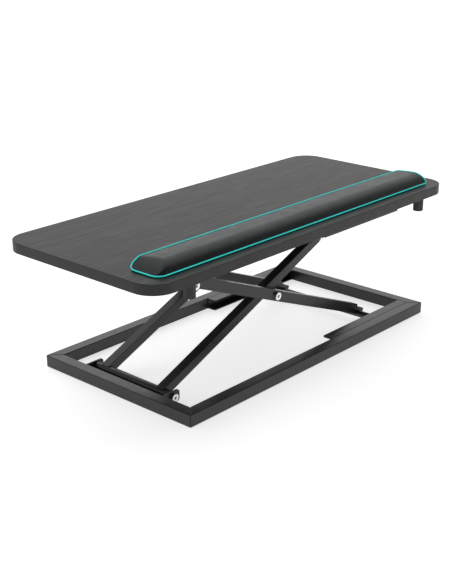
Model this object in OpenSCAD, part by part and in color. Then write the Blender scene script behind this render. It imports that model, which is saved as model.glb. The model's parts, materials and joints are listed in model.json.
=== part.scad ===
// Standing desk converter: a level desktop carried over a floor frame by an
// X-shaped pair of crossing leg frames. The inner legs pivot at the lower left
// and slide at the upper right, the outer legs pivot at the upper left and slide
// at the lower right. Origin: centre of the base on the surface it stands on.
// +X is the user's right, +Y is away from the user, +Z is up.

/* [Desktop] */
// Length of the desktop, left to right
desktop_w = 722; // [700:2:740]
// Depth of the desktop, front to back
desktop_d = 320; // [318:2:340]
// Thickness of the desktop with its edge band
desktop_t = 16; // [12:0.5:18]
// Corner radius of the desktop in plan
desktop_r = 38; // [20:2:60]
// Thickness of the plastic edge band
band_t = 1; // [0.6:0.2:2]

/* [Base frame] */
// Length of the base frame, left to right
base_w = 596; // [580:2:620]
// Depth of the base frame, front to back
base_d = 316; // [310:2:340]
// Side of the square base tube
tube = 20; // [18:1:22]
// Wall of the steel tubes
wall = 1.5; // [1:0.25:2]
// Height of the rubber foot pads
pad_h = 1; // [0.5:0.5:2]

/* [Lift] */
// Half the distance between a leg's two end pivots
half_leg = 248; // [240:1:250]
// Rise of the lines from the leg crossing to the lower pivots, as drawn
leg_angle = 23.2; // [10:0.1:40]
// How much flatter the lines from the crossing to the upper pivots are
knee = 1.7; // [1.5:0.1:1.8]
// Distance of the left pivots from the centre of the base
pivot_x = 258; // [255:1:262]
// Distance of the upper pivots below the desktop
drop = 13; // [13:0.5:16]

/* [Legs] */
// Depth of every leg tube, front to back
leg_w = 16; // [14:1:16]
// Height of the inner leg tubes
inner_h = 15; // [14:0.5:16]
// Height of the outer leg tubes
outer_h = 17.5; // [17:0.5:18]
// Front face of the inner legs, from the middle plane
inner_y = 68.5; // [66:0.5:70]
// Front face of the outer legs, from the middle plane
outer_y = 92; // [91:0.5:93]
// Diameter of the cross shafts
shaft_d = 12; // [10:0.5:12]

/* [Wrist rest] */
// Length of the wrist rest
rest_w = 656; // [560:4:660]
// Depth of the wrist rest
rest_d = 60; // [50:1:66]
// Height of the wrist rest
rest_h = 17; // [16:1:24]
// Middle of the wrist rest, in front of the desktop's middle
rest_y = 107; // [100:1:110]
// Middle of the wrist rest, left of the desktop's middle
rest_x = 6; // [0:1:10]

/* [Hidden] */
$fn = 48;
eps = 0.01;
run = 0.05;          // radial clearance of a running fit
gap = 0.4;           // side clearance between bodies that turn against each other

base_top = pad_h + tube;
rail_wall = 2;
rail_in = 15;        // clear height inside a slide rail
rail_h = rail_in + 2 * rail_wall;
rail_d = 17.5;
rail_x0 = 57;        // left end of the slide rails
pivot_z = base_top - rail_h / 2;
low_rail_y = base_d / 2 - tube;      // outer face of the lower rails
up_rail_y = 120;                     // outer face of the upper rails
up_rail_x1 = 262;                    // right end of the upper rails
desktop_at = [-2.5, 2.5];            // middle of the desktop over the base

up_angle = leg_angle - knee;
mid_x = -pivot_x + half_leg * cos(leg_angle);     // the leg crossing
mid_z = pivot_z + half_leg * sin(leg_angle);
low_slide_x = mid_x + half_leg * cos(leg_angle);
up_pivot_x = mid_x - half_leg * cos(up_angle);
up_slide_x = mid_x + half_leg * cos(up_angle);
up_pivot_z = mid_z + half_leg * sin(up_angle);
under_z = up_pivot_z + drop;         // underside of the desktop
top_z = under_z + desktop_t;

inner_in = inner_y - leg_w;          // inner faces of the leg tubes
outer_in = outer_y - leg_w;
shaft_r = shaft_d / 2;
knee_u = half_leg * cos(knee);       // sliding shaft, along and across a leg's own line
knee_v = -half_leg * sin(knee);
inner_skew = 0.4;                    // inner leg tube, off the line to its lower pivot
inner_over = 4.5;                    // leg tubes past their end pivots
outer_over_top = 6.5;
outer_over_low = 10;
cap_t = 2;                           // plates of the plugs in the outer legs

ear_t = 3;
low_ear_y = 85;                      // outer face of the lower pivot ears
up_ear_y = 133;                      // outer face of the upper pivot ears
low_tube_r = 8;
bolt_r = 4;                          // pivot bolts, M8
head_r = 6.2;
head_h = 4.2;
brace_bolt_r = 3;                    // brace bolts, M6
brace_head_r = 4.8;
brace_head_h = 3.4;

spring_s = 150;                      // spring pins, from the leg centre along a leg
brace_s = 202;                       // outer brace, from the leg centre along a leg
inner_brace_r = 8;
outer_brace_r = 5;
lug_pin_r = 4;
cyl_r = 9;
cyl_len = 128;
cyl_wall = 1.6;
cyl_start = 14;                      // closed end of the cylinder, from its pin
cyl_bottom = 10;                     // thickness of the closed end
cyl_gland = 8;                       // thickness of the end the rod passes through
rod_r = 4;
rod_len = 160;
rod_end = 12;                        // end of the rod, from its pin
eye_w = 14;
lug_y = 9;
lug_t = 3;

shaft_back = 5;      // shaft ends behind the outer face of their rail
glide_len = 24;
glide_clear = 0.2;
glide_w = 14;

bar_w = 6;                           // lock bar section and reach
bar_h = 10;
bar_len = 228;
bar_y0 = up_rail_y - rail_wall - 2 * glide_clear - (glide_w + bar_w) / 2;
bar_slot = 0.3;                      // clearance of the bar in its housing
lock_x0 = 8;
lock_x1 = 47;
lock_y0 = 100;                       // back and front of the lock housing, forwards
lock_y1 = 125.5;
lock_wall = 3;
lever_y = 122;                       // lever pin, in front of the middle plane
lever_pin_r = 2;
lever_z = up_pivot_z - 0.5;

bumper_r = 8.6;
bumper_h = 21;
bumper_x = 284.5;
bumper_y = 149;

// Folded flat, the bumpers stand this far above the base, and the upper shaft lies in
// saddles cut into the ends of the outer legs
fold_gap = 0.3;
fold_rise = base_top + bumper_h + fold_gap - drop - pivot_z;
saddle_v = knee_v + fold_rise - shaft_r - gap;

sides = [-1, 1];

// ---- shared shapes ----

// Rounded rectangle centred on the origin, made of true arcs
module rounded_rect(w, d, r) {
  square([w - 2 * r, d], center = true);
  square([w, d - 2 * r], center = true);
  for (sx = sides, sy = sides)
    translate([sx * (w / 2 - r), sy * (d / 2 - r)]) circle(r, $fn = 64);
}

// Cylinder along Y from y0 to y1 at x, z
module y_cyl(x, z, y0, y1, r) {
  translate([x, y1, z]) rotate([90, 0, 0]) cylinder(r = r, h = y1 - y0);
}

// Cylinder along X on the origin's axis, starting at x
module x_cyl(x, len, r) {
  translate([x, 0, 0]) rotate([0, 90, 0]) cylinder(r = r, h = len);
}

// Places children in a frame whose X axis runs along a leg, from the leg centre
module along_inner() {
  translate([mid_x, 0, mid_z]) rotate([0, -leg_angle, 0]) children();
}
module along_outer() {
  translate([mid_x, 0, mid_z]) rotate([0, up_angle, 0]) children();
}

// Front side is -1, rear side is 1: spans y0..y1 measured outwards
module side_cyl(side, x, z, y0, y1, r) {
  y_cyl(x, z, side > 0 ? y0 : -y1, side > 0 ? y1 : -y0, r);
}
module side_box(side, x0, x1, y0, y1, z0, z1) {
  translate([x0, side > 0 ? y0 : -y1, z0]) cube([x1 - x0, y1 - y0, z1 - z0]);
}

// Bolt along Y: hex socket head outside of face_y, shank running inwards
module side_bolt(side, x, z, face_y, shank, r, hr, hh) {
  difference() {
    union() {
      side_cyl(side, x, z, face_y - shank, face_y + eps, r);
      side_cyl(side, x, z, face_y, face_y + hh, hr);
    }
    translate([x, side * (face_y + hh), z]) rotate([90, 0, 0])
      cylinder(r = hr * 0.48, h = hh * 1.3, center = true, $fn = 6);
  }
}

// ---- base frame ----

module mitre(len) {
  polygon([[-len / 2, 0], [len / 2, 0], [len / 2 - tube, tube], [-len / 2 + tube, tube]]);
}

module base_bar(len) {
  color([0.13, 0.13, 0.14]) difference() {
    translate([0, 0, pad_h]) linear_extrude(tube) mitre(len);
    translate([-len / 2 - 1, wall, pad_h + wall])
      cube([len + 2, tube - 2 * wall, tube - 2 * wall]);
  }
}

module base_bar_front() { translate([0, -base_d / 2, 0]) base_bar(base_w); }
module base_bar_rear() { rotate([0, 0, 180]) base_bar_front(); }
module base_bar_left() { translate([-base_w / 2, 0, 0]) rotate([0, 0, -90]) base_bar(base_d); }
module base_bar_right() { rotate([0, 0, 180]) base_bar_left(); }

// Channel that opens towards the middle of the frame, with rounded lead-in corners
module slide_rail(side, x1, y_out, z0) {
  color([0.15, 0.15, 0.16]) difference() {
    translate([0, 0, z0]) linear_extrude(rail_h)
      difference() {
        translate([rail_x0, side > 0 ? y_out - rail_d : -y_out])
          square([x1 - rail_x0, rail_d]);
        translate([rail_x0, side * (y_out - rail_d)]) lead_in(side);
      }
    side_box(side, rail_x0 - 1, x1 - rail_wall, y_out - rail_d - 1, y_out - rail_wall,
      z0 + rail_wall, z0 + rail_h - rail_wall);
  }
}

// Sharp corner that a radius leaves behind, to be cut away
module lead_in(side) {
  r = 4;
  difference() {
    translate([-1, side > 0 ? -1 : -r]) square([r + 1, r + 1]);
    translate([r, side * r]) circle(r);
  }
}

module lower_rail(side) { slide_rail(side, base_w / 2 - tube, low_rail_y, pivot_z - rail_h / 2); }
module lower_rail_front() { lower_rail(-1); }
module lower_rail_rear() { lower_rail(1); }

// Upright plate with rounded top corners, welded to the left base bar
module lower_ear(side) {
  r = 5;
  x0 = -base_w / 2 + tube;
  x1 = -pivot_x + 13;
  z0 = pad_h + 1;
  color([0.13, 0.13, 0.14]) difference() {
    translate([0, side > 0 ? low_ear_y : -low_ear_y + ear_t, 0]) rotate([90, 0, 0])
      linear_extrude(ear_t) {
        translate([x0, z0]) square([x1 - x0 - r, base_top - z0]);
        translate([x0, z0 + r]) square([x1 - x0, base_top - z0 - 2 * r]);
        for (z = [z0 + r, base_top - r]) translate([x1 - r, z]) circle(r);
      }
    side_cyl(side, -pivot_x, pivot_z, low_ear_y - ear_t - 1, low_ear_y + 1, bolt_r + run);
  }
}
module lower_ear_front() { lower_ear(-1); }
module lower_ear_rear() { lower_ear(1); }

module foot_pads() {
  color([0.05, 0.05, 0.05]) for (sx = sides, sy = sides)
    translate([sx * (base_w / 2 - 30), sy * (base_d / 2 - tube / 2), 0])
      linear_extrude(pad_h) rounded_rect(36, 14, 5);
}

// ---- inner legs ----

// The tube passes a little over the line of its pivots, with a solid upper end
module inner_leg(side) {
  y0 = inner_in;
  tip = knee_u + inner_over;
  solid_end = 18;
  color([0.12, 0.12, 0.13]) difference() {
    along_inner() rotate([0, inner_skew, 0])
      side_box(side, -half_leg, tip, y0, inner_y, -inner_h / 2, inner_h / 2);
    along_inner() {
      rotate([0, inner_skew, 0])
        side_box(side, -half_leg - 2, tip - solid_end, y0 + wall, inner_y - wall,
          -inner_h / 2 + wall, inner_h / 2 - wall);
      side_cyl(side, knee_u, knee_v, y0 - 1, inner_y + 1, shaft_r + run);
      side_cyl(side, 0, 0, y0 - 1, inner_y + 1, bolt_r + run);
      side_cyl(side, spring_s, 0, y0 - 1, inner_y + 1, brace_bolt_r + run);
      side_cyl(side, -half_leg, 0, y0 - 1, inner_y + 1, low_tube_r + run);
      head_room(side);
    }
  }
}

// Rounds a leg's upper end where it turns close under the desktop
module head_room(side) {
  r = drop - 0.5;
  back = 16;
  difference() {
    side_box(side, knee_u - back, knee_u + r, inner_in - 1, inner_y + 1, knee_v, outer_h);
    side_cyl(side, knee_u, knee_v, inner_in - 2, inner_y + 2, r);
    side_box(side, knee_u - back - 1, knee_u, inner_in - 2, inner_y + 2, knee_v - 1, knee_v + r);
  }
}
module inner_leg_front() { inner_leg(-1); }
module inner_leg_rear() { inner_leg(1); }

// Tube that carries the inner legs between the lower ears, tapped at both ends
module lower_pivot_tube() {
  span = low_ear_y - ear_t - gap;
  color([0.12, 0.12, 0.13]) difference() {
    y_cyl(-pivot_x, pivot_z, -span, span, low_tube_r);
    for (s = sides) side_cyl(s, -pivot_x, pivot_z, span - 22, span + 1, bolt_r + run);
  }
}

module lower_pivot_bolts() {
  color([0.8, 0.8, 0.82]) for (s = sides)
    side_bolt(s, -pivot_x, pivot_z, low_ear_y + gap, ear_t + 2 * gap + 20, bolt_r, head_r, head_h);
}

module center_bolts() {
  color([0.8, 0.8, 0.82]) for (s = sides)
    side_bolt(s, mid_x, mid_z, outer_y + gap, outer_y - inner_in + 10, bolt_r, head_r, head_h);
}

module center_nuts() {
  color([0.7, 0.7, 0.72]) for (s = sides) difference() {
    translate([mid_x, s * (inner_in - 0.2), mid_z]) rotate([s * 90, 0, 0])
      cylinder(r = 7.4, h = 6.5, $fn = 6);
    side_cyl(s, mid_x, mid_z, inner_in - 9, inner_in + 1, bolt_r + run);
  }
}

// Plastic spacer between an inner leg and an outer leg at the crossing
module center_spacers() {
  color([0.06, 0.06, 0.06]) for (s = sides) difference() {
    side_cyl(s, mid_x, mid_z, inner_y + 0.1, outer_in - gap, 9);
    side_cyl(s, mid_x, mid_z, inner_y - 1, outer_in + 1, bolt_r + run);
  }
}

module inner_brace() {
  color([0.12, 0.12, 0.13]) along_inner() difference() {
    y_cyl(spring_s, 0, -inner_in + 0.1, inner_in - 0.1, inner_brace_r);
    for (s = sides)
      side_cyl(s, spring_s, 0, inner_in - 24, inner_in + 1, brace_bolt_r + run);
  }
}

module inner_brace_bolts() {
  color([0.8, 0.8, 0.82]) along_inner() for (s = sides)
    side_bolt(s, spring_s, 0, inner_y, leg_w + 20, brace_bolt_r, brace_head_r, brace_head_h);
}

// Cross shaft through the upper ends of the inner legs, out to the upper glides
module upper_shaft() {
  reach = up_rail_y - shaft_back;
  color([0.2, 0.2, 0.21]) y_cyl(up_slide_x, up_pivot_z, -reach, reach, shaft_r);
}

// ---- outer legs ----

// The upper pivot is on the tube's own line and the sliding shaft near its lower edge
module outer_leg(side) {
  y0 = outer_in;
  y1 = outer_y;
  u0 = -half_leg - outer_over_top;
  u1 = knee_u + outer_over_low;
  color([0.14, 0.14, 0.15]) along_outer() difference() {
    side_box(side, u0, u1, y0, y1, -outer_h / 2, outer_h / 2);
    side_box(side, u0 - 1, u1 + 1, y0 + wall, y1 - wall, -outer_h / 2 + wall, outer_h / 2 - wall);
    side_cyl(side, -half_leg, 0, y0 - 1, y1 + 1, shaft_r + run);
    side_cyl(side, knee_u, knee_v, y0 - 1, y1 + 1, shaft_r + run);
    side_cyl(side, 0, 0, y0 - 1, y1 + 1, bolt_r + run);
    side_cyl(side, -brace_s, 0, y0 - 1, y1 + 1, brace_bolt_r + run);
    fold_cuts(side);
  }
}

// Space for the lower pivots and for the upper shaft when the converter is folded flat
module fold_cuts(side) {
  low = base_top - pivot_z - fold_rise + gap;
  far = half_leg + 40;
  saddle_w = 9;
  side_box(side, -far, -half_leg + 34, outer_in - 1, outer_y + 1, -outer_h, low);
  side_box(side, knee_u - saddle_w, far, outer_in - 1, outer_y + 1, saddle_v, outer_h);
}
module outer_leg_front() { outer_leg(-1); }
module outer_leg_rear() { outer_leg(1); }

module upper_pivot_tube() {
  span = up_ear_y - ear_t - gap;
  color([0.12, 0.12, 0.13]) difference() {
    y_cyl(up_pivot_x, up_pivot_z, -span, span, shaft_r);
    for (s = sides) side_cyl(s, up_pivot_x, up_pivot_z, span - 22, span + 1, bolt_r + run);
  }
}

module upper_pivot_bolts() {
  color([0.8, 0.8, 0.82]) for (s = sides)
    side_bolt(s, up_pivot_x, up_pivot_z, up_ear_y + gap, ear_t + 2 * gap + 20, bolt_r,
      head_r, head_h);
}

module outer_brace() {
  color([0.2, 0.2, 0.21]) along_outer() difference() {
    y_cyl(-brace_s, 0, -outer_in + 0.1, outer_in - 0.1, outer_brace_r);
    for (s = sides)
      side_cyl(s, -brace_s, 0, outer_in - 24, outer_in + 1, brace_bolt_r + run);
  }
}

module outer_brace_bolts() {
  color([0.8, 0.8, 0.82]) along_outer() for (s = sides)
    side_bolt(s, -brace_s, 0, outer_y, leg_w + 20, brace_bolt_r, brace_head_r, brace_head_h);
}

// The spring pin, in the outer legs' frame: level with the inner brace at every height
spring_pin_u = -spring_s * cos(knee);
spring_pin_v = spring_s * sin(knee);

// Two plates welded to the outer brace that hold the spring pin
module spring_lugs() {
  r = 8;
  du = spring_pin_u + brace_s;
  len = norm([du, spring_pin_v]);
  color([0.16, 0.16, 0.17]) along_outer() translate([-brace_s, 0, 0])
    rotate([0, -atan2(spring_pin_v, du), 0]) for (s = sides) difference() {
      union() {
        side_box(s, 0, len, lug_y, lug_y + lug_t, -r, r);
        side_cyl(s, 0, 0, lug_y, lug_y + lug_t, r);
        side_cyl(s, len, 0, lug_y, lug_y + lug_t, r);
      }
      side_cyl(s, 0, 0, lug_y - 1, lug_y + lug_t + 1, outer_brace_r + run);
      side_cyl(s, len, 0, lug_y - 1, lug_y + lug_t + 1, lug_pin_r + run);
    }
}

module spring_pin() {
  reach = lug_y + lug_t + 0.2;
  head_t = 2;
  color([0.75, 0.75, 0.77]) along_outer() {
    y_cyl(spring_pin_u, spring_pin_v, -reach - head_t, reach + head_t, lug_pin_r);
    for (s = sides)
      side_cyl(s, spring_pin_u, spring_pin_v, reach, reach + head_t, lug_pin_r + 1.6);
  }
}

module lower_shaft() {
  reach = low_rail_y - shaft_back;
  color([0.12, 0.12, 0.13]) y_cyl(low_slide_x, pivot_z, -reach, reach, shaft_r);
}

// Plastic plugs in both ends of the outer legs: a plate outside and a block inside
module leg_end_caps() {
  plug = 7;
  fit = wall + 0.1;
  half_h = outer_h / 2;
  color([0.05, 0.05, 0.05]) for (s = sides) along_outer() {
    difference() {
      union() {
        translate([-half_leg - outer_over_top, 0, 0]) {
          side_box(s, -cap_t, -0.05, outer_in, outer_y, -half_h, half_h);
          side_box(s, -0.1, plug, outer_in + fit, outer_y - fit, -half_h + fit, -1);
        }
        translate([knee_u + outer_over_low, 0, 0]) {
          side_box(s, 0.05, cap_t, outer_in, outer_y, -half_h, half_h);
          side_box(s, -plug, 0.1, outer_in + fit, outer_y - fit, 0, saddle_v + 1);
        }
      }
      side_cyl(s, -half_leg, 0, outer_in - 1, outer_y + 1, shaft_r + 0.1);
      side_cyl(s, knee_u, knee_v, outer_in - 1, outer_y + 1, shaft_r + 0.1);
      fold_cuts(s);
    }
  }
}

// ---- sliding glides ----

module glide(side, x, z, y_out) {
  y1 = y_out - rail_wall - glide_clear * 2;
  color([0.9, 0.9, 0.88]) difference() {
    translate([x, side * (y1 - glide_w / 2), z]) rotate([90, 0, 0])
      linear_extrude(glide_w, center = true)
        rounded_rect(glide_len, rail_in - 2 * glide_clear, 3);
    side_cyl(side, x, z, y1 - glide_w - 1, y_out - shaft_back + gap, shaft_r + run);
  }
}
module lower_glide_front() { glide(-1, low_slide_x, pivot_z, low_rail_y); }
module lower_glide_rear() { glide(1, low_slide_x, pivot_z, low_rail_y); }
module upper_glide_front() { glide(-1, up_slide_x, up_pivot_z, up_rail_y); }
module upper_glide_rear() { glide(1, up_slide_x, up_pivot_z, up_rail_y); }

// Flat bar screwed to the upper front glide, gripped by the lock
module lock_bar() {
  x1 = up_slide_x - glide_len / 2;
  color([0.6, 0.6, 0.62]) side_box(-1, x1 - bar_len, x1, bar_y0, bar_y0 + bar_w,
    up_pivot_z - bar_h / 2, up_pivot_z + bar_h / 2);
}

// ---- lift spring ----

module spring_frame() {
  translate([mid_x, 0, mid_z + spring_s * sin(leg_angle)]) children();
}

// Cylinder with its end eye on the spring pin
module spring_cylinder() {
  pin = -spring_s * cos(leg_angle);
  color([0.1, 0.1, 0.11]) spring_frame() difference() {
    union() {
      y_cyl(pin, 0, -eye_w / 2, eye_w / 2, 7.5);
      translate([pin + 5, -5, -6]) cube([10, 10, 12]);
      x_cyl(pin + cyl_start, cyl_len, cyl_r);
    }
    y_cyl(pin, 0, -eye_w, eye_w, lug_pin_r + run);
    x_cyl(pin + cyl_start + cyl_bottom, cyl_len - cyl_bottom - cyl_gland, cyl_r - cyl_wall);
    x_cyl(pin + cyl_start + cyl_bottom, cyl_len, rod_r + 0.1);
  }
}

// Polished rod with a piston inside the cylinder
module spring_rod() {
  x0 = spring_s * cos(leg_angle) - rod_end - rod_len;
  color([0.85, 0.85, 0.87]) spring_frame() {
    x_cyl(x0, rod_len, rod_r);
    x_cyl(x0, 5, cyl_r - 2);
  }
}

module rod_eye() {
  pin = spring_s * cos(leg_angle);
  socket_len = 20;
  color([0.1, 0.1, 0.11]) spring_frame() difference() {
    union() {
      y_cyl(pin, 0, -eye_w / 2, eye_w / 2, inner_brace_r + 2.5);
      x_cyl(pin - socket_len, 13, rod_r + 2.5);
    }
    y_cyl(pin, 0, -eye_w, eye_w, inner_brace_r + run);
    x_cyl(pin - socket_len - 1, socket_len - rod_end + 1, rod_r + run);
  }
}

// ---- desktop ----

module desktop_panel() {
  color([0.22, 0.22, 0.23]) difference() {
    translate([desktop_at[0], desktop_at[1], under_z]) linear_extrude(desktop_t)
      rounded_rect(desktop_w - 2 * band_t, desktop_d - 2 * band_t, desktop_r - band_t);
    for (p = screw_places) translate([p[0], p[1], under_z - 1])
      cylinder(r = screw_r + run, h = 11, $fn = 24);
  }
}

module edge_band() {
  color([0.16, 0.16, 0.17]) translate([desktop_at[0], desktop_at[1], under_z])
    linear_extrude(desktop_t) difference() {
      rounded_rect(desktop_w, desktop_d, desktop_r);
      rounded_rect(desktop_w - 2 * band_t, desktop_d - 2 * band_t, desktop_r - band_t);
    }
}

// Screws through the rail tabs, ear flanges and lock housing: x, y, plate thickness
screw_r = 1.7;
hole_r = screw_r + 0.1;
tab_xs = [75, 160, 245];
tab_y = up_rail_y + 5;
flange_xs = [up_pivot_x - 10, up_pivot_x + 12];
flange_y = up_ear_y - 16;
flange_t = 2.5;
lock_screw = [(lock_x0 + lock_x1) / 2 - 8, -lock_y0 - 3.5];
screw_places = concat(
  [for (x = tab_xs, s = sides) [x, s * tab_y, rail_wall]],
  [for (x = flange_xs, s = sides) [x, s * flange_y, flange_t]],
  [[lock_screw[0], lock_screw[1], flange_t]]);

module screw_hole(x, y, plate) {
  translate([x, y, under_z - plate - 1]) cylinder(r = hole_r, h = plate + 2, $fn = 24);
}

module screw(plate) {
  head = 2.2;
  translate([0, 0, -plate - head]) cylinder(r1 = 3, r2 = 3.6, h = head, $fn = 24);
  translate([0, 0, -plate - eps]) cylinder(r = screw_r, h = 9 + plate, $fn = 24);
}

module desktop_screws() {
  color([0.3, 0.3, 0.31]) for (p = screw_places) translate([p[0], p[1], under_z]) screw(p[2]);
}

// Slide rail hung from its outer web, with tabs bent outwards under the desktop
module upper_rail(side) {
  slide_rail(side, up_rail_x1, up_rail_y, up_pivot_z - rail_h / 2);
  color([0.15, 0.15, 0.16])
    side_box(side, rail_x0, up_rail_x1, up_rail_y - rail_wall, up_rail_y, up_pivot_z, under_z);
  color([0.15, 0.15, 0.16]) for (x = tab_xs) difference() {
    side_box(side, x - 9, x + 9, up_rail_y, up_rail_y + 10, under_z - rail_wall, under_z);
    screw_hole(x, side * tab_y, rail_wall);
  }
}
module upper_rail_front() { upper_rail(-1); }
module upper_rail_rear() { upper_rail(1); }

// Angle bracket: an upright ear that holds the pivot and a flange on the underside
module upper_ear(side) {
  r = 9;
  color([0.13, 0.13, 0.14]) difference() {
    union() {
      side_box(side, up_pivot_x - r, up_pivot_x + r, up_ear_y - ear_t, up_ear_y,
        up_pivot_z, under_z);
      side_cyl(side, up_pivot_x, up_pivot_z, up_ear_y - ear_t, up_ear_y, r);
      side_box(side, up_pivot_x - 16, up_pivot_x + 18, up_ear_y - 24, up_ear_y,
        under_z - flange_t, under_z);
    }
    side_cyl(side, up_pivot_x, up_pivot_z, up_ear_y - ear_t - 1, up_ear_y + 1, bolt_r + run);
    for (x = flange_xs) screw_hole(x, side * flange_y, flange_t);
  }
}
module upper_ear_front() { upper_ear(-1); }
module upper_ear_rear() { upper_ear(1); }

// Rubber buffer that lands on the base frame when the converter is folded flat
module bumper(sx, sy) {
  y = desktop_at[1] + sy * bumper_y;
  color([0.05, 0.05, 0.05]) translate([sx * bumper_x, y, under_z - bumper_h])
    rotate_extrude() {
      square([bumper_r - 1, bumper_h]);
      translate([0, 1]) square([bumper_r, bumper_h - 1]);
      translate([bumper_r - 1, 1]) circle(1, $fn = 24);
    }
}
module bumper_front_left() { bumper(-1, -1); }
module bumper_front_right() { bumper(1, -1); }
module bumper_rear_left() { bumper(-1, 1); }
module bumper_rear_right() { bumper(1, 1); }

// ---- height lock ----

// Inverted channel under the desktop: its two walls guide the lock bar
module lock_housing() {
  low = up_pivot_z - bar_h / 2 - bar_slot - 2;
  front_low = up_pivot_z - 4;
  step_y = bar_y0 + bar_w + bar_slot + 1.5;
  color([0.14, 0.14, 0.15]) difference() {
    side_box(-1, lock_x0, lock_x1, lock_y0, lock_y1, low, under_z);
    side_box(-1, lock_x0 + lock_wall, lock_x1 - lock_wall, lock_y0 - 1, lock_y1 + 1, low - 1,
      under_z - flange_t);
    side_box(-1, lock_x0 - 1, lock_x1 + 1, step_y, lock_y1 + 1, low - 1, front_low);
    side_box(-1, lock_x0 - 1, lock_x1 + 1, bar_y0 - bar_slot, bar_y0 + bar_w + bar_slot,
      up_pivot_z - bar_h / 2 - bar_slot, up_pivot_z + bar_h / 2 + bar_slot);
    translate([lock_x0 - 1, -lever_y, lever_z]) rotate([0, 90, 0])
      cylinder(r = lever_pin_r + run, h = lock_x1 - lock_x0 + 2);
    screw_hole(lock_screw[0], lock_screw[1], flange_t);
  }
}

module lever_pin() {
  color([0.75, 0.75, 0.77]) translate([lock_x0 - 2, -lever_y, lever_z]) rotate([0, 90, 0]) {
    cylinder(r = lever_pin_r, h = lock_x1 - lock_x0 + 4);
    cylinder(r = lever_pin_r + 1.4, h = 1.6);
    translate([0, 0, lock_x1 - lock_x0 + 2.4]) cylinder(r = lever_pin_r + 1.4, h = 1.6);
  }
}

// Torsion spring on the lever pin: rings of a helix swept along its axis
spring_turns = 5;
spring_wire = 0.55;
spring_coil = 3.1;
spring_pitch = 1.5;
function helix(t) = [spring_pitch * t, spring_coil * cos(360 * t), spring_coil * sin(360 * t)];
function ring(t) = [for (a = [0:45:315])
  let (c = helix(t), u = [0, cos(360 * t), sin(360 * t)])
  c + spring_wire * (cos(a) * u + sin(a) * [1, 0, 0])];
module lever_spring() {
  n = 80;
  rings = [for (i = [0:n]) ring(i / n * spring_turns)];
  points = [for (r = rings, p = r) p];
  faces = concat([[for (j = [0:7]) j]], [[for (j = [7:-1:0]) n * 8 + j]],
    [for (i = [0:n - 1], j = [0:7])
      [i * 8 + j, (i + 1) * 8 + j, (i + 1) * 8 + (j + 1) % 8, i * 8 + (j + 1) % 8]]);
  color([0.6, 0.6, 0.62]) translate([lock_x0 + lock_wall + 1, -lever_y, lever_z])
    polyhedron(points, faces);
}

// Bell-crank: a raised tongue in front of the pin, and an arm under the lock bar behind it
lever_x0 = lock_x0 + lock_wall + 10;
lever_x1 = lock_x1 - lock_wall - 0.6;
tongue_z = lever_z + 7;
tongue_t = 2.2;
tongue_y = lever_y + 11;
lever_hub_r = 4;
arm_y = lever_y - 1.5;
arm_t = 2.5;
shoe_z = up_pivot_z - bar_h / 2 - 0.5;       // top of the brake shoe
shoe_t = 2;
foot_t = 2;                                  // plate under the brake shoe
module release_lever() {
  arm_z = shoe_z - shoe_t;
  color([0.6, 0.6, 0.62]) difference() {
    union() {
      translate([lever_x0, -lever_y, lever_z]) rotate([0, 90, 0])
        cylinder(r = lever_hub_r, h = lever_x1 - lever_x0);
      side_box(-1, lever_x0, lever_x1, lever_y + 1.6, lever_y + 3.8, lever_z,
        tongue_z + tongue_t);
      side_box(-1, lever_x0, lever_x1, lever_y + 1.6, tongue_y, tongue_z, tongue_z + tongue_t);
      side_box(-1, lever_x0, lever_x1, arm_y - arm_t, arm_y, arm_z - foot_t, lever_z);
      side_box(-1, lever_x0, lever_x1, arm_y - 15.5, arm_y, arm_z - foot_t, arm_z);
    }
    translate([lever_x0 - 1, -lever_y, lever_z]) rotate([0, 90, 0])
      cylinder(r = lever_pin_r + run, h = lever_x1 - lever_x0 + 2);
  }
}

// Moulded finger paddle pushed onto the lever's front tongue
module lever_grip() {
  wider = 14;
  x0 = lever_x0 - wider;
  x1 = lever_x1 + wider;
  y0 = tongue_y - 3.5;
  y1 = tongue_y + 10;
  fit = 0.1;
  color([0.07, 0.07, 0.07]) difference() {
    translate([(x0 + x1) / 2, -(y0 + y1) / 2, tongue_z - 1]) linear_extrude(tongue_t + 2)
      rounded_rect(x1 - x0, y1 - y0, 5);
    side_box(-1, lever_x0 - fit, lever_x1 + fit, y0 - 1, tongue_y + fit,
      tongue_z - fit, tongue_z + tongue_t + fit);
  }
}

module brake_shoe() {
  color([0.35, 0.2, 0.12]) side_box(-1, lever_x0 + 2, lever_x1 - 2, arm_y - 14.5, arm_y - 5.5,
    shoe_z - shoe_t, shoe_z);
}

// ---- wrist rest ----

sheet_t = 1.2;
piping_r = 1;
// Section of the pad: short upright sides under a rounded top
module rest_profile(w, h) {
  r = 12;
  intersection() {
    square([w, h]);
    union() {
      square([w, h - r]);
      translate([r, 0]) square([w - 2 * r, h]);
      for (x = [r, w - r]) translate([x, h - r]) circle(r, $fn = 64);
    }
  }
}

module wrist_rest_pad() {
  color([0.1, 0.1, 0.11]) difference() {
    translate([-rest_x - rest_w / 2, -rest_y - rest_d / 2, top_z + sheet_t]) rotate([90, 0, 90])
      linear_extrude(rest_w) rest_profile(rest_d, rest_h - sheet_t);
    piping_loop(piping_r + 0.03);
  }
}

module wrist_rest_base() {
  color([0.04, 0.04, 0.04]) translate([-rest_x, -rest_y, top_z]) linear_extrude(sheet_t)
    rounded_rect(rest_w - 6, rest_d - 6, 6);
}

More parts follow.
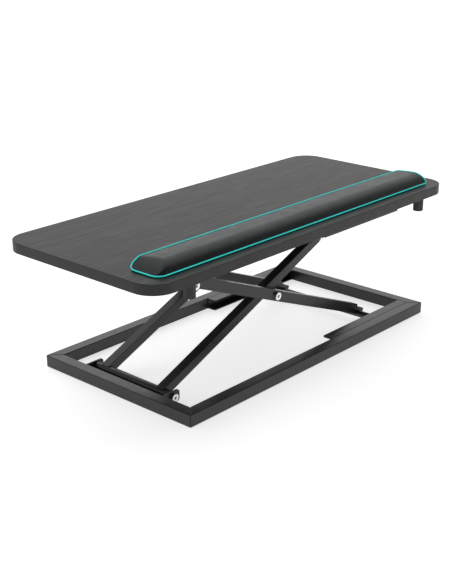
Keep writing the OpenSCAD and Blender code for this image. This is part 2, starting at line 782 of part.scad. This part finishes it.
// Piped seam round the pad, just above its bottom edge
module piping_loop(r) {
  x = rest_w / 2 - 0.4;
  y = rest_d / 2 - 0.4;
  translate([-rest_x, -rest_y, top_z + sheet_t + 1.6]) {
    for (s = sides) {
      translate([-x, s * y, 0]) rotate([0, 90, 0]) cylinder(r = r, h = 2 * x, $fn = 24);
      translate([s * x, y, 0]) rotate([90, 0, 0]) cylinder(r = r, h = 2 * y, $fn = 24);
    }
    for (sx = sides, sy = sides) translate([sx * x, sy * y, 0]) sphere(r, $fn = 24);
  }
}
module wrist_rest_piping() { color([0.1, 0.65, 0.62]) piping_loop(piping_r); }

base_bar_front();
base_bar_rear();
base_bar_left();
base_bar_right();
lower_rail_front();
lower_rail_rear();
lower_ear_front();
lower_ear_rear();
foot_pads();
inner_leg_front();
inner_leg_rear();
lower_pivot_tube();
lower_pivot_bolts();
center_bolts();
center_nuts();
center_spacers();
inner_brace();
inner_brace_bolts();
upper_shaft();
outer_leg_front();
outer_leg_rear();
upper_pivot_tube();
upper_pivot_bolts();
outer_brace();
outer_brace_bolts();
spring_lugs();
spring_pin();
lower_shaft();
leg_end_caps();
lower_glide_front();
lower_glide_rear();
upper_glide_front();
upper_glide_rear();
lock_bar();
spring_cylinder();
spring_rod();
rod_eye();
desktop_panel();
edge_band();
upper_rail_front();
upper_rail_rear();
upper_ear_front();
upper_ear_rear();
desktop_screws();
bumper_front_left();
bumper_front_right();
bumper_rear_left();
bumper_rear_right();
lock_housing();
lever_pin();
lever_spring();
release_lever();
lever_grip();
brake_shoe();
wrist_rest_pad();
wrist_rest_base();
wrist_rest_piping();
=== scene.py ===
"""Looks for the standing desk converter, in metres and in the CAD frame:
+X is the user's right, +Y is away from the user, +Z is up."""
import json
import math

import bpy
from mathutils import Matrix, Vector, noise


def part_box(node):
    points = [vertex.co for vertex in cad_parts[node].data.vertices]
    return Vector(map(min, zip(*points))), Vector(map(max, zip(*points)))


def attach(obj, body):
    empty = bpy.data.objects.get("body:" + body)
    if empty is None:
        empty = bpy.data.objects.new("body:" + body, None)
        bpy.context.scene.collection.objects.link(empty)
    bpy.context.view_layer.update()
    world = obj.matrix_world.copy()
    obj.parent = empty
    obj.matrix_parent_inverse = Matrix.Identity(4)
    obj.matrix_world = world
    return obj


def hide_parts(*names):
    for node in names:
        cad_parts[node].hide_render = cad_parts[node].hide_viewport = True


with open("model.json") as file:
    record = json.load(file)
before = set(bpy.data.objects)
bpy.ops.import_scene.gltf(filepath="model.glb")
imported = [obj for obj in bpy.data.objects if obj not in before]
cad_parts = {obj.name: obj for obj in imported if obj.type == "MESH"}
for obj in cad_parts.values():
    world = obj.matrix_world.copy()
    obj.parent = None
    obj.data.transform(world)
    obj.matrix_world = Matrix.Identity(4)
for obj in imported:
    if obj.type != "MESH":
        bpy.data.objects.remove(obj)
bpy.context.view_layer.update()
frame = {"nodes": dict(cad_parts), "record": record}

MM = 0.001
nodes = frame["nodes"]
slot_of = {part["node"]: part["material_slot"] for part in frame["record"]["subparts"]}


# ---- materials ----

class Surface:
    """A node material on object coordinates, which are metres in the CAD frame."""

    def __init__(self, name, metallic=0.0, ior=1.5):
        self.material = bpy.data.materials.new(name)
        self.material.use_nodes = True
        self.tree = self.material.node_tree
        self.bsdf = self.tree.nodes["Principled BSDF"]
        self.set("Metallic", metallic)
        self.set("IOR", ior)
        self.place = self.node("ShaderNodeTexCoord").outputs["Object"]
        self.last_bump = None

    def set(self, socket, value):
        self.bsdf.inputs[socket].default_value = value

    def node(self, kind, **settings):
        made = self.tree.nodes.new(kind)
        for key, value in settings.items():
            setattr(made, key, value)
        return made

    def link(self, source, target):
        self.tree.links.new(source, target)

    def stretched(self, scale):
        """Object coordinates with their own scale on each axis, for a grain."""
        mapping = self.node("ShaderNodeMapping")
        mapping.inputs["Scale"].default_value = scale
        self.link(self.place, mapping.inputs["Vector"])
        return mapping.outputs["Vector"]

    def noise(self, scale, detail=3.0, rough=0.5, distort=0.0, place=None):
        made = self.node("ShaderNodeTexNoise")
        made.inputs["Scale"].default_value = scale
        made.inputs["Detail"].default_value = detail
        made.inputs["Roughness"].default_value = rough
        made.inputs["Distortion"].default_value = distort
        self.link(place or self.place, made.inputs["Vector"])
        return made.outputs["Fac"]

    def cells(self, scale, feature="DISTANCE_TO_EDGE"):
        made = self.node("ShaderNodeTexVoronoi", feature=feature)
        made.inputs["Scale"].default_value = scale
        self.link(self.place, made.inputs["Vector"])
        return made.outputs["Distance"]

    def lines(self, spacing, turn):
        """Parallel ridges, turned by an angle in degrees about Z."""
        mapping = self.node("ShaderNodeMapping")
        mapping.inputs["Rotation"].default_value = (0, 0, math.radians(turn))
        self.link(self.place, mapping.inputs["Vector"])
        made = self.node("ShaderNodeTexWave", wave_type="BANDS", bands_direction="X")
        made.inputs["Scale"].default_value = math.pi / 10 / spacing
        self.link(mapping.outputs["Vector"], made.inputs["Vector"])
        return made.outputs["Fac"]

    def span(self, source, low, high, from_low=0.3, from_high=0.7):
        made = self.node("ShaderNodeMapRange")
        made.inputs["From Min"].default_value = from_low
        made.inputs["From Max"].default_value = from_high
        made.inputs["To Min"].default_value = low
        made.inputs["To Max"].default_value = high
        self.link(source, made.inputs["Value"])
        return made.outputs["Result"]

    def ramp(self, source, *stops):
        """Colour from (position, colour) stops."""
        made = self.node("ShaderNodeValToRGB")
        band = made.color_ramp.elements
        while len(band) < len(stops):
            band.new(0.5)
        for element, (position, colour) in zip(band, stops):
            element.position = position
            element.color = (*colour, 1.0)
        self.link(source, made.inputs["Fac"])
        return made.outputs["Color"]

    def sum(self, first, second, share=0.5):
        """Weighted sum of two heights."""
        made = self.node("ShaderNodeMath", operation="MULTIPLY_ADD")
        made.inputs[1].default_value = share
        self.link(second, made.inputs[0])
        self.link(first, made.inputs[2])
        return made.outputs["Value"]

    def colour(self, source):
        self.link(source, self.bsdf.inputs["Base Color"])

    def roughness(self, source, low, high):
        self.link(self.span(source, low, high), self.bsdf.inputs["Roughness"])

    def bump(self, height, strength, depth):
        """Adds relief, over any relief added before."""
        made = self.node("ShaderNodeBump")
        made.inputs["Strength"].default_value = strength
        made.inputs["Distance"].default_value = depth
        self.link(height, made.inputs["Height"])
        if self.last_bump:
            self.link(self.last_bump, made.inputs["Normal"])
        self.last_bump = made.outputs["Normal"]
        self.link(self.last_bump, self.bsdf.inputs["Normal"])


def grey(level, warmth=0.0):
    return (level * (1 + warmth), level, level * (1 - warmth))


def powder_coat():
    s = Surface("powder_coat", ior=1.46)
    patches = s.noise(28, detail=4)
    s.colour(s.ramp(patches, (0.3, grey(0.008)), (0.7, grey(0.013))))
    s.roughness(s.noise(90, detail=5), 0.27, 0.35)
    s.bump(s.noise(950, detail=2), 0.08, 0.05 * MM)
    return s.material


def shaft_steel():
    s = Surface("shaft_steel", metallic=0.4)
    turned = s.stretched((900, 40, 900))
    s.colour(s.ramp(s.noise(60), (0.3, grey(0.02)), (0.7, grey(0.045, 0.05))))
    s.roughness(s.noise(1.0, detail=3, place=turned), 0.26, 0.42)
    s.bump(s.noise(1.0, detail=2, place=turned), 0.08, 0.04 * MM)
    return s.material


def plated_steel():
    s = Surface("plated_steel", metallic=1.0)
    s.colour(s.ramp(s.noise(160, detail=4), (0.3, grey(0.74, -0.02)), (0.7, grey(0.90))))
    s.roughness(s.noise(420, detail=4), 0.18, 0.32)
    s.bump(s.noise(1500, detail=2), 0.06, 0.03 * MM)
    return s.material


def chrome_rod():
    s = Surface("chrome_rod", metallic=1.0)
    ground = s.stretched((2600, 30, 30))
    s.colour(s.ramp(s.noise(50), (0.3, grey(0.70)), (0.7, grey(0.80))))
    s.roughness(s.noise(1.0, place=ground), 0.07, 0.14)
    s.bump(s.noise(1.0, place=ground), 0.03, 0.02 * MM)
    return s.material


def laminate():
    """Pressed wood grain: long pores over broader bands, both along X."""
    s = Surface("laminate", ior=1.22)
    pores = s.noise(1.0, detail=4, rough=0.6, place=s.stretched((16, 620, 620)))
    bands = s.noise(1.0, detail=3, distort=0.6, place=s.stretched((3.2, 46, 46)))
    mixed = s.sum(s.span(pores, 0, 0.75), s.span(bands, 0, 1), share=0.25)
    s.colour(s.ramp(mixed, (0.2, grey(0.016, 0.03)), (0.55, grey(0.040, 0.04)),
                    (0.85, grey(0.072, 0.05))))
    s.roughness(pores, 0.42, 0.33)
    s.bump(pores, 0.30, 0.12 * MM)
    return s.material


def edge_band():
    s = Surface("edge_band", ior=1.38)
    streaks = s.noise(1.0, detail=3, place=s.stretched((30, 30, 900)))
    s.colour(s.ramp(streaks, (0.3, grey(0.010, 0.02)), (0.7, grey(0.016, 0.03))))
    s.roughness(s.noise(70), 0.38, 0.50)
    s.bump(streaks, 0.12, 0.06 * MM)
    return s.material


def rubber():
    s = Surface("rubber")
    s.colour(s.ramp(s.noise(120, detail=5), (0.3, grey(0.012)), (0.7, grey(0.024))))
    s.roughness(s.noise(200, detail=4), 0.58, 0.75)
    s.bump(s.noise(1300, detail=3), 0.25, 0.08 * MM)
    return s.material


def nylon():
    s = Surface("nylon")
    s.set("Subsurface Weight", 0.15)
    s.colour(s.ramp(s.noise(90, detail=4), (0.3, (0.52, 0.51, 0.47)), (0.7, (0.62, 0.61, 0.57))))
    s.roughness(s.noise(240), 0.34, 0.48)
    s.bump(s.noise(700, detail=2), 0.08, 0.05 * MM)
    return s.material


def moulded_plastic():
    s = Surface("moulded_plastic")
    s.colour(s.ramp(s.noise(80, detail=4), (0.3, grey(0.016)), (0.7, grey(0.024))))
    s.roughness(s.noise(300), 0.42, 0.55)
    s.bump(s.cells(1800, feature="F1"), 0.20, 0.05 * MM)
    return s.material


def brake_lining():
    s = Surface("brake_lining")
    chips = s.cells(1500, feature="F1")
    s.colour(s.ramp(chips, (0.1, (0.16, 0.11, 0.06)), (0.6, (0.07, 0.04, 0.022))))
    s.roughness(s.noise(500), 0.7, 0.9)
    s.bump(chips, 0.5, 0.12 * MM)
    return s.material


def leatherette():
    """Diagonal cross-hatch embossed over a fine pebble grain."""
    s = Surface("leatherette", ior=1.33)
    pebbles = s.cells(1150)
    hatch = s.sum(s.lines(3.4 * MM, 40), s.lines(3.4 * MM, -40), share=1.0)
    tone = s.sum(s.span(hatch, 0.0, 0.7, 0.3, 1.7), s.span(pebbles, 0, 1, 0.0, 0.25), share=0.3)
    s.colour(s.ramp(tone, (0.1, (0.0025, 0.0032, 0.0033)), (0.5, (0.0055, 0.0068, 0.0070)),
                    (0.9, (0.012, 0.0145, 0.015))))
    s.set("Specular Tint", (0.86, 0.98, 1.0, 1.0))
    s.roughness(s.noise(60, detail=4), 0.32, 0.40)
    s.bump(s.span(pebbles, 0, 1, 0.0, 0.2), 0.06, 0.08 * MM)
    s.bump(hatch, 0.60, 0.10 * MM)
    return s.material


def piping():
    """Twisted teal thread over a cord, with a painted glow (emission) that makes it look
    brighter.
    """
    s = Surface("piping", ior=1.35)
    twist = s.node("ShaderNodeTexWave", wave_type="BANDS", bands_direction="DIAGONAL")
    twist.inputs["Scale"].default_value = 420
    s.link(s.place, twist.inputs["Vector"])
    lay = twist.outputs["Fac"]
    s.set("Sheen Weight", 0.10)
    s.set("Emission Color", (0.02, 0.75, 0.70, 1.0))      # painted glow: the thread gives off light of its own so it looks brighter
    s.set("Emission Strength", 0.30)
    s.colour(s.ramp(lay, (0.1, (0.03, 0.72, 0.66)), (0.8, (0.06, 0.96, 0.90))))
    s.roughness(s.noise(600), 0.50, 0.66)
    s.bump(lay, 0.30, 0.12 * MM)
    return s.material


def pale_floor():
    s = Surface("pale_floor")
    s.set("Specular IOR Level", 0.0)
    s.set("Roughness", 0.9)
    s.set("Emission Color", (1.0, 1.0, 1.0, 1.0))
    s.set("Emission Strength", 0.68)
    s.colour(s.ramp(s.noise(3), (0.3, grey(0.80)), (0.7, grey(0.82))))
    return s.material


finishes = {make.__name__: make() for make in (
    powder_coat, shaft_steel, plated_steel, chrome_rod, laminate, edge_band, rubber, nylon,
    moulded_plastic, brake_lining, leatherette, piping)}


# ---- carried-over CAD nodes ----

# Rounding of the edges by node name, in mm: rolled tubes are rounder than cut plates
ROUNDING = {"base_bar": 1.3, "inner_leg": 1.5, "outer_leg": 1.5, "desktop_panel": 0.3,
            "edge_band": 0.5, "bumper": 0.6, "lever_grip": 0.8, "spring_cylinder": 0.5,
            "rod_eye": 0.5, "lower_rail": 0.5, "upper_rail": 0.5, "center_bolts": 0.5,
            "lower_pivot_bolts": 0.5, "upper_pivot_bolts": 0.5}
FINE_ROUNDING = 0.25
WELD_DISTANCE = 0.002 * MM
SHARPEST_SMOOTH = math.radians(35)    # edges sharper than this are rounded


def round_edges(name, piece):
    """Welds the CAD faces, rounds their edges and evens out the shading."""
    width = next((w for start, w in ROUNDING.items() if name.startswith(start)), FINE_ROUNDING)
    weld = piece.modifiers.new("weld", "WELD")
    weld.merge_threshold = WELD_DISTANCE
    bevel = piece.modifiers.new("rounding", "BEVEL")
    bevel.width = width * MM
    bevel.segments = 3
    bevel.limit_method = "ANGLE"
    bevel.angle_limit = SHARPEST_SMOOTH
    bevel.use_clamp_overlap = True
    even = piece.modifiers.new("even_shading", "WEIGHTED_NORMAL")
    even.weight = 80


def dress_cad_nodes():
    for name, piece in nodes.items():
        piece.data.materials.clear()
        piece.data.materials.append(finishes[slot_of[name]])
        if name != "lever_spring":
            round_edges(name, piece)


# ---- wrist rest ----

pad_low, pad_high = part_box("wrist_rest_pad")
PAD_FLOOR = pad_low.z                 # on top of the non-slip sheet
PAD_LEFT = pad_low.x
PAD_RIGHT = pad_high.x
PAD_REAR = pad_high.y
PAD_FRONT = pad_low.y
SEAM_Z = 1.0 * MM                     # height of the bottom seam over the sheet
LOWEST_Z = SEAM_Z * 0.6               # the cover comes no closer to the sheet than this
CREST_Z = pad_high.z - pad_low.z      # height of the crease between top and front
REAR_Z = CREST_Z - 2.6 * MM           # height of the rear top edge
CREST_Y = PAD_FRONT + 24 * MM
TOP_CROWN = 0.5 * MM
REAR_BELLY = 0.8 * MM                 # how far the rear face swells between its two seams
SIDE_STEPS = (0.0, 0.12, 0.35, 0.65, 0.9)    # places up the rear face, under its top edge
FRONT_CURVE = 1.7                     # exponent of the front's rounded fall
SLOPE_RUN = 30 * MM                   # length of the sloping left end
END_CROWN = 1.2 * MM
CORNER_R = 15 * MM                    # front corner of the left end in plan
REAR_CORNER = 0.7                     # its rear corner, as a share of the front one
LUMPS = 0.35 * MM                     # slow unevenness of the stuffing
LUMPS_ALONG, LUMPS_ACROSS = 14, 30    # its frequency along X and Y, per metre
CREASE = 1.3 * MM                     # softness of the creases between its faces
RIGHT_END = ((0.3 * MM, 0.97), (0.0, 0.90))   # its last rings: distance from the end, size
PIPING_R = 1.0 * MM
PIPING_INSET = 4 * MM                 # where the long seams turn up, from the right end
PIPING_END = 1.2 * MM                 # the seam round the right end, from that end
PIPING_SLOPE = SLOPE_RUN * 1.2        # the part of the long seams with closer points


def soft_min(a, b, k):
    """The lower of two heights, with the crease between them rounded over k."""
    h = max(0.0, min(1.0, 0.5 + 0.5 * (b - a) / k))
    return b * (1 - h) + a * h - k * h * (1 - h)


def corner_pull(x):
    """How far the plan outline pulls in near the left end's round corners."""
    past = PAD_LEFT + CORNER_R - x
    return 0.0 if past <= 0 else CORNER_R - math.sqrt(max(0.0, CORNER_R ** 2 - past ** 2))


def front_edge(x):
    return PAD_FRONT + corner_pull(x)


def rear_edge(x):
    return PAD_REAR - REAR_CORNER * corner_pull(x)


def left_slope(x):
    """Height of the sloping left end, slightly crowned."""
    t = max(0.0, (x - PAD_LEFT) / SLOPE_RUN)
    crown = END_CROWN * math.sin(math.pi * min(1.0, t))
    return SEAM_Z + t * (CREST_Z - SEAM_Z) + crown


def section(x):
    """Points (y, z) of the cover at x, from the rear bottom seam over the top to the front."""
    points = [(PAD_REAR + REAR_BELLY * math.sin(math.pi * f), SEAM_Z + f * (REAR_Z - SEAM_Z))
              for f in SIDE_STEPS]
    top_steps = 14
    for i in range(top_steps + 1):
        t = i / top_steps
        y = PAD_REAR + t * (CREST_Y - PAD_REAR)
        crown = TOP_CROWN * math.sin(math.pi * t)
        points.append((y, REAR_Z + t * (CREST_Z - REAR_Z) + crown))
    front_steps = 18
    for i in range(1, front_steps + 1):
        a = math.pi / 2 * i / front_steps
        y = CREST_Y + (PAD_FRONT - CREST_Y) * math.sin(a) ** (2 / FRONT_CURVE)
        z = SEAM_Z + (CREST_Z - SEAM_Z) * math.cos(a) ** (2 / FRONT_CURVE)
        points.append((y, z))
    depth = (front_edge(x) - rear_edge(x)) / (PAD_FRONT - PAD_REAR)
    placed = []
    for y, z in points:
        y = rear_edge(x) + (y - PAD_REAR) * depth
        soft = LUMPS * noise.noise(Vector((x * LUMPS_ALONG, y * LUMPS_ACROSS, 0.3)))
        z = soft_min(z + soft * (z / CREST_Z), left_slope(x), CREASE)
        placed.append((y, max(z, LOWEST_Z)))
    return placed


def stations():
    """Places along X, closer together near the ends."""
    reach = SLOPE_RUN * 1.3
    crowding = 1.3                        # exponent: over 1 brings them closer to the left end
    fine_count = 22
    fine = [PAD_LEFT + reach * (i / fine_count) ** crowding for i in range(fine_count)]
    gap = 3 * MM
    start = fine[-1] + gap
    end = PAD_RIGHT - gap
    even_count = 84
    even = [start + (end - start) * i / even_count for i in range(even_count + 1)]
    return fine + even + [PAD_RIGHT - 1.6 * MM, PAD_RIGHT - 0.8 * MM]


def build_pad():
    """The stuffed body: a lofted skin with a sloping left end and an upright right end."""
    rows = []
    for x in stations():
        upper = section(x)
        rear, front = upper[0][0], upper[-1][0]
        last = len(upper) - 1
        lower = [(front + (rear - front) * i / last, 0.0) for i in range(last + 1)]
        rows.append([(x, y, PAD_FLOOR + z) for y, z in upper + lower])
    centre_y = (PAD_REAR + PAD_FRONT) / 2
    centre_z = PAD_FLOOR + CREST_Z / 2
    end_row = rows[-1]
    for inset, size in RIGHT_END:
        rows.append([(PAD_RIGHT - inset, centre_y + (y - centre_y) * size,
                      centre_z + (z - centre_z) * size) for _, y, z in end_row])
    ring = len(rows[0])
    points = [p for row in rows for p in row]
    faces = []
    for i in range(len(rows) - 1):
        for j in range(ring):
            k = (j + 1) % ring
            faces.append((i * ring + j, i * ring + k, (i + 1) * ring + k, (i + 1) * ring + j))
    half = ring // 2
    last = (len(rows) - 1) * ring
    for j in range(half - 1):             # closes the two ends
        faces.append((j, ring - 1 - j, ring - 2 - j, j + 1))
        faces.append((last + j + 1, last + ring - 2 - j, last + ring - 1 - j, last + j))
    mesh = bpy.data.meshes.new("wrist_rest_cushion")
    mesh.from_pydata(points, [], faces)
    mesh.validate()
    mesh.polygons.foreach_set("use_smooth", [True] * len(mesh.polygons))
    mesh.materials.append(finishes["leatherette"])
    pad = bpy.data.objects.new("wrist_rest_cushion", mesh)
    bpy.context.scene.collection.objects.link(pad)
    smooth = pad.modifiers.new("smooth", "SUBSURF")
    smooth.levels = 1
    smooth.render_levels = 1
    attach(pad, "rest")
    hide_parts("wrist_rest_pad")


def seam_route():
    """The piped seam: along the rear top edge, down the left rear corner, round the left
    end's bottom, along the front's bottom edge and up over the outline of the right end."""
    rear_corner = len(SIDE_STEPS)         # the first point of a section that is on its top
    route = []
    long_steps = 60
    span = (PAD_RIGHT - PIPING_INSET) - (PAD_LEFT + PIPING_SLOPE)
    for i in range(long_steps + 1):
        x = PAD_RIGHT - PIPING_INSET - span * i / long_steps
        y, z = section(x)[rear_corner]
        route.append((x, y, z))
    slope_steps = 16
    for i in range(1, slope_steps):
        x = PAD_LEFT + PIPING_SLOPE * (1 - i / slope_steps)
        y, z = section(x)[rear_corner]
        route.append((x, y, z))
    end_steps = 8
    start_y, end_y = rear_edge(PAD_LEFT), front_edge(PAD_LEFT)
    for i in range(end_steps + 1):
        route.append((PAD_LEFT, start_y + (end_y - start_y) * i / end_steps, SEAM_Z))
    corner_steps = 8
    for i in range(1, corner_steps + 1):
        a = math.pi / 2 * i / corner_steps
        x = PAD_LEFT + CORNER_R * (1 - math.cos(a))
        route.append((x, front_edge(x), SEAM_Z))
    start_x = PAD_LEFT + CORNER_R
    for i in range(1, long_steps + 1):
        x = start_x + (PAD_RIGHT - PIPING_INSET - start_x) * i / long_steps
        route.append((x, front_edge(x), SEAM_Z))
    for y, z in reversed(section(PAD_RIGHT - PIPING_INSET)[rear_corner + 1:-1]):
        route.append((PAD_RIGHT - PIPING_END, y, z))
    return [(x, y, PAD_FLOOR + z) for x, y, z in route]


def build_piping():
    curve = bpy.data.curves.new("wrist_rest_piped_seam", "CURVE")
    curve.dimensions = "3D"
    route = seam_route()
    spline = curve.splines.new("NURBS")
    spline.points.add(len(route) - 1)
    for point, place in zip(spline.points, route):
        point.co = (*place, 1.0)
    spline.use_cyclic_u = True
    spline.order_u = 3
    spline.resolution_u = 3
    curve.bevel_depth = PIPING_R
    curve.bevel_resolution = 3
    curve.materials.append(finishes["piping"])
    seam = bpy.data.objects.new("wrist_rest_piped_seam", curve)
    bpy.context.scene.collection.objects.link(seam)
    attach(seam, "rest")
    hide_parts("wrist_rest_piping")


# ---- stage, light and camera ----

FLOOR_HALF = 12.0                     # metres: out to where it meets the white horizon

# The world's light, by direction: Z is 0 at the horizon and 1 overhead, Y is -1 at the front
WHITE_UP_TO_Z = 0.30
DARK_FROM_Z = 0.80
OVERHEAD_LEVEL = 0.22
FRONT_LOSS = 0.75                     # share of the light that is missing towards the front
FRONT_LOSS_Y = (-0.75, 0.15)          # it fades out from the first to the second
FRONT_LOSS_Z = (0.12, 0.28)           # it sets in from the first to the second

SUN_ENERGY = 0.9
SUN_SPREAD = math.radians(70)         # wide, for soft shadows
SUN_FROM = (0.40, 0.45, 0.9)          # from behind the desk, on the right

CAMERA_AZIMUTH = math.radians(-48.05)
CAMERA_ELEVATION = math.radians(20.61)
CAMERA_PLACE = (-1.3029, -1.1285, 0.7320)
FOCAL_LENGTH = 68.25                  # in mm, on a 36 mm sensor


def build_floor():
    half = FLOOR_HALF
    mesh = bpy.data.meshes.new("floor")
    mesh.from_pydata([(-half, -half, 0), (half, -half, 0), (half, half, 0), (-half, half, 0)], [],
                     [(0, 1, 2, 3)])
    mesh.materials.append(pale_floor())
    floor = bpy.data.objects.new("floor", mesh)
    bpy.context.scene.collection.objects.link(floor)


def falloff(tree, source, start, end, low, high):
    """A smooth step from low at start to high at end."""
    made = tree.nodes.new("ShaderNodeMapRange")
    made.interpolation_type = "SMOOTHSTEP"
    limits = {"From Min": start, "From Max": end, "To Min": low, "To Max": high}
    for socket, value in limits.items():
        made.inputs[socket].default_value = value
    tree.links.new(source, made.inputs["Value"])
    return made.outputs["Result"]


def build_world():
    """White along the horizon, darker overhead and darker still up in front of the desk, like a
    cove lit from the back."""
    world = bpy.data.worlds.new("studio")
    world.use_nodes = True
    bpy.context.scene.world = world
    tree = world.node_tree
    background = tree.nodes["Background"]
    place = tree.nodes.new("ShaderNodeTexCoord")
    parts = tree.nodes.new("ShaderNodeSeparateXYZ")
    ramp = tree.nodes.new("ShaderNodeValToRGB")
    band = ramp.color_ramp.elements
    band[0].position = WHITE_UP_TO_Z
    band[0].color = (1, 1, 1, 1)
    band[1].position = DARK_FROM_Z
    band[1].color = (*grey(OVERHEAD_LEVEL), 1)
    tree.links.new(place.outputs["Generated"], parts.inputs["Vector"])
    tree.links.new(parts.outputs["Z"], ramp.inputs["Fac"])
    front_loss = falloff(tree, parts.outputs["Y"], *FRONT_LOSS_Y, -FRONT_LOSS, 0.0)
    above = falloff(tree, parts.outputs["Z"], *FRONT_LOSS_Z, 0.0, 1.0)
    keep = tree.nodes.new("ShaderNodeMath")
    keep.operation = "MULTIPLY_ADD"
    keep.inputs[2].default_value = 1.0
    tree.links.new(front_loss, keep.inputs[0])
    tree.links.new(above, keep.inputs[1])
    shade = tree.nodes.new("ShaderNodeVectorMath")
    shade.operation = "SCALE"
    tree.links.new(ramp.outputs["Color"], shade.inputs[0])
    tree.links.new(keep.outputs["Value"], shade.inputs["Scale"])
    tree.links.new(shade.outputs["Vector"], background.inputs["Color"])
    background.inputs["Strength"].default_value = 1.0


def build_lights():
    sun = bpy.data.lights.new("soft_key", "SUN")
    sun.energy = SUN_ENERGY
    sun.angle = SUN_SPREAD
    lamp = bpy.data.objects.new("soft_key", sun)
    lamp.rotation_mode = "QUATERNION"
    lamp.rotation_quaternion = Vector(SUN_FROM).to_track_quat("Z", "Y")
    bpy.context.scene.collection.objects.link(lamp)


def build_camera():
    level = math.cos(CAMERA_ELEVATION)
    back = Vector((math.sin(CAMERA_AZIMUTH) * level, -math.cos(CAMERA_AZIMUTH) * level,
                   math.sin(CAMERA_ELEVATION)))
    lens = bpy.data.cameras.new("camera")
    lens.lens = FOCAL_LENGTH
    lens.sensor_width = 36.0
    lens.sensor_fit = "AUTO"
    lens.clip_end = 100.0
    camera = bpy.data.objects.new("camera", lens)
    camera.location = CAMERA_PLACE
    camera.rotation_mode = "QUATERNION"
    camera.rotation_quaternion = (-back).to_track_quat("-Z", "Y")
    bpy.context.scene.collection.objects.link(camera)
    bpy.context.scene.camera = camera


build_camera()
build_world()
build_lights()
build_floor()
dress_cad_nodes()
build_pad()
build_piping()
bpy.context.scene.view_settings.view_transform = "Standard"
